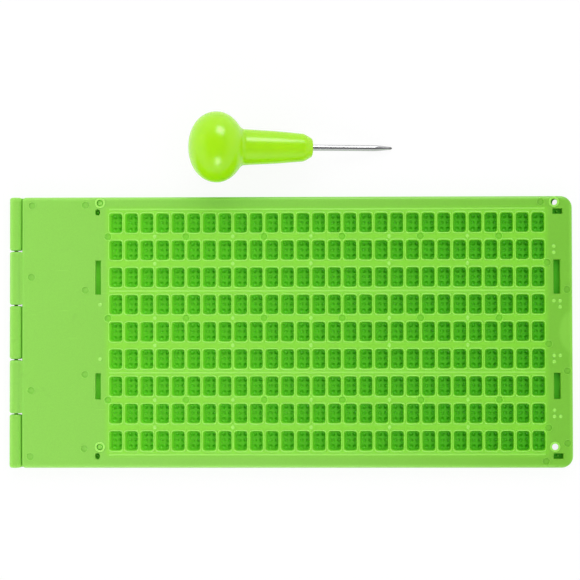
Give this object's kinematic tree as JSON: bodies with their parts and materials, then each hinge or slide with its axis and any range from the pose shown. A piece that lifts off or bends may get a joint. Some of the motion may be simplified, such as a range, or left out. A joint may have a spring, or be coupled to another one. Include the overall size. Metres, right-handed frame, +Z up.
{
  "type": "braille writing slate",
  "caption": "Hinged plastic braille slate with a windowed cover over a pitted plate, and a ball-handled stylus lying beside it.",
  "frame": {"origin": "centre of the slate's flat underside", "axes": "+X along the writing lines, away from the hinge; +Y up the page, towards the stylus; +Z up through the closed leaves"},
  "size_m": [0.2202, 0.1379, 0.0273],
  "materials": {
    "leaf_plastic": "moulded satin, apple green",
    "grip_plastic": "moulded high gloss, lime green",
    "steel": "turned and polished"
  },
  "bodies": {
    "lower_leaf": {"pit_plate": "leaf_plastic", "hinge_pin": "steel"},
    "upper_leaf": {"cover": "leaf_plastic"},
    "stylus": {"stylus_handle": "grip_plastic", "stylus_needle": "steel"}
  },
  "joints": [
    {"name": "cover_hinge", "type": "hinge", "parent": "lower_leaf", "child": "upper_leaf", "pos_m": [-0.10755, 0, 0.00275], "axis": [0, -1, 0], "range_deg": [0, 180]},
    {"name": "stylus_lift", "type": "slide", "parent": "lower_leaf", "child": "stylus", "axis": [0, 0, 1], "range_m": [0, 0.08]}
  ]
}
